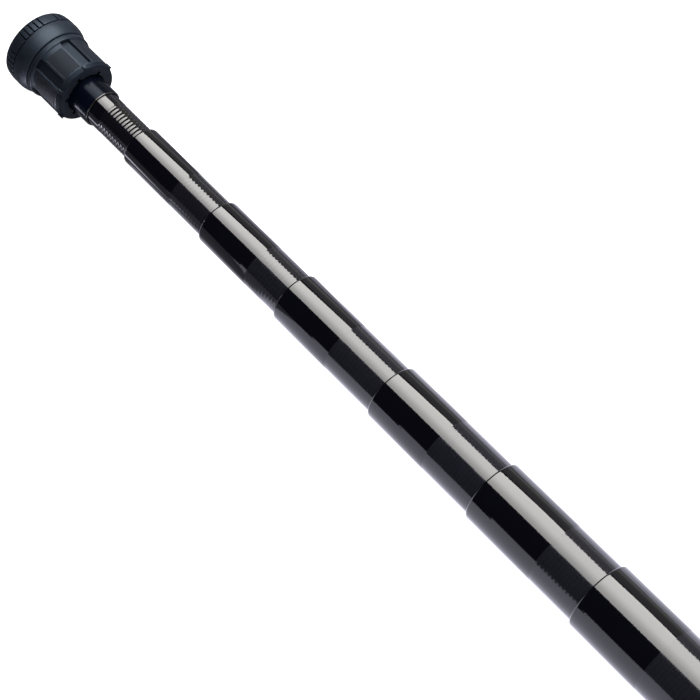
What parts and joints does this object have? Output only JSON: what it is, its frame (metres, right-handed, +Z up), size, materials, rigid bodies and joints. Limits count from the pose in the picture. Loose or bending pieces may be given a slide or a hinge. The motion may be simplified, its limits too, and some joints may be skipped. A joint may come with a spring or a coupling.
{
  "type": "boom pole",
  "caption": "Telescopic carbon boom pole with nested tubes, a slotted plastic head with a locking ring and threaded microphone stud, and a screw-on butt cap.",
  "frame": {"origin": "centre of the rubber foot's end face at the butt", "axes": "+X along the pole towards the head, +Z up with the pole lying down"},
  "size_m": [1.0358, 0.0372, 0.0372],
  "materials": {
    "carbon_tube": "gloss lacquer at the mouths, satin tape-wound carbon behind them",
    "glide_plastic": "natural acetal, smooth",
    "anodised_aluminium": "black anodised, satin, fine turned lines",
    "head_plastic": "moulded blue-black plastic, fine matte texture",
    "spring_steel": "oiled spring steel",
    "seal_rubber": "smooth moulded rubber",
    "bare_aluminium": "turned, satin",
    "seat_rubber": "matte rubber",
    "stud_steel": "turned and threaded steel",
    "damper_foam": "closed-cell foam",
    "foot_rubber": "matte moulded rubber"
  },
  "bodies": {
    "handle": {"tube_8": "carbon_tube", "butt_ferrule": "anodised_aluminium"},
    "glide_7": {"glide_ring_7": "glide_plastic"},
    "section_7": {"tube_7": "carbon_tube"},
    "glide_6": {"glide_ring_6": "glide_plastic"},
    "section_6": {"tube_6": "carbon_tube"},
    "glide_5": {"glide_ring_5": "glide_plastic"},
    "section_5": {"tube_5": "carbon_tube"},
    "glide_4": {"glide_ring_4": "glide_plastic"},
    "section_4": {"tube_4": "carbon_tube"},
    "glide_3": {"glide_ring_3": "glide_plastic"},
    "section_3": {"tube_3": "carbon_tube"},
    "glide_2": {"glide_ring_2": "glide_plastic"},
    "section_2": {"tube_2": "carbon_tube"},
    "glide_1": {"glide_ring_1": "glide_plastic"},
    "section_1": {"tube_1": "carbon_tube", "neck_ferrule": "anodised_aluminium", "head_hub": "head_plastic", "bell_housing": "head_plastic", "circlip": "spring_steel", "ring_o_ring": "seal_rubber", "guide_pins": "spring_steel", "mic_stud": "stud_steel"},
    "lock_ring": {"lock_ring": "head_plastic"},
    "thrust_plate": {"thrust_plate": "bare_aluminium", "seat_pad": "seat_rubber"},
    "butt_seal": {"butt_o_ring": "seal_rubber"},
    "butt_cap": {"butt_cap": "anodised_aluminium", "damper_disc": "damper_foam", "rubber_foot": "foot_rubber"}
  },
  "joints": [
    {"name": "section_7_slide", "type": "slide", "parent": "handle", "child": "glide_7", "axis": [1, 0, 0], "range_m": [0, 0.484]},
    {"name": "section_7_twist", "type": "hinge", "parent": "glide_7", "child": "section_7", "pos_m": [0.05, 0, 0], "axis": [1, 0, 0], "continuous": true},
    {"name": "section_6_slide", "type": "slide", "parent": "section_7", "child": "glide_6", "axis": [1, 0, 0], "range_m": [0, 0.544]},
    {"name": "section_6_twist", "type": "hinge", "parent": "glide_6", "child": "section_6", "pos_m": [0.05, 0, 0], "axis": [1, 0, 0], "continuous": true},
    {"name": "section_5_slide", "type": "slide", "parent": "section_6", "child": "glide_5", "axis": [1, 0, 0], "range_m": [0, 0.605]},
    {"name": "section_5_twist", "type": "hinge", "parent": "glide_5", "child": "section_5", "pos_m": [0.05, 0, 0], "axis": [1, 0, 0], "continuous": true},
    {"name": "section_4_slide", "type": "slide", "parent": "section_5", "child": "glide_4", "axis": [1, 0, 0], "range_m": [0, 0.666]},
    {"name": "section_4_twist", "type": "hinge", "parent": "glide_4", "child": "section_4", "pos_m": [0.05, 0, 0], "axis": [1, 0, 0], "continuous": true},
    {"name": "section_3_slide", "type": "slide", "parent": "section_4", "child": "glide_3", "axis": [1, 0, 0], "range_m": [0, 0.728]},
    {"name": "section_3_twist", "type": "hinge", "parent": "glide_3", "child": "section_3", "pos_m": [0.05, 0, 0], "axis": [1, 0, 0], "continuous": true},
    {"name": "section_2_slide", "type": "slide", "parent": "section_3", "child": "glide_2", "axis": [1, 0, 0], "range_m": [0, 0.78]},
    {"name": "section_2_twist", "type": "hinge", "parent": "glide_2", "child": "section_2", "pos_m": [0.05, 0, 0], "axis": [1, 0, 0], "continuous": true},
    {"name": "section_1_slide", "type": "slide", "parent": "section_2", "child": "glide_1", "axis": [1, 0, 0], "range_m": [0, 0.8345]},
    {"name": "section_1_twist", "type": "hinge", "parent": "glide_1", "child": "section_1", "pos_m": [0.05, 0, 0], "axis": [1, 0, 0], "continuous": true},
    {"name": "lock_ring_turn", "type": "hinge", "parent": "section_1", "child": "lock_ring", "pos_m": [1.0207, 0, 0], "axis": [1, 0, 0], "range_deg": [0, 270]},
    {"name": "thrust_plate_advance", "type": "slide", "parent": "section_1", "child": "thrust_plate", "axis": [1, 0, 0], "range_m": [0, 0.00119]},
    {"name": "butt_cap_advance", "type": "slide", "parent": "handle", "child": "butt_seal", "axis": [-1, 0, 0], "range_m": [0, 0.0085]},
    {"name": "butt_cap_turn", "type": "hinge", "parent": "butt_seal", "child": "butt_cap", "pos_m": [0.01, 0, 0], "axis": [-1, 0, 0], "range_deg": [0, 2040]}
  ],
  "couplings": [
    {"joint": "lock_ring_turn", "follows": "thrust_plate_advance", "rad_per_m": 3957.9},
    {"joint": "butt_cap_turn", "follows": "butt_cap_advance", "rad_per_m": 4188.8}
  ]
}
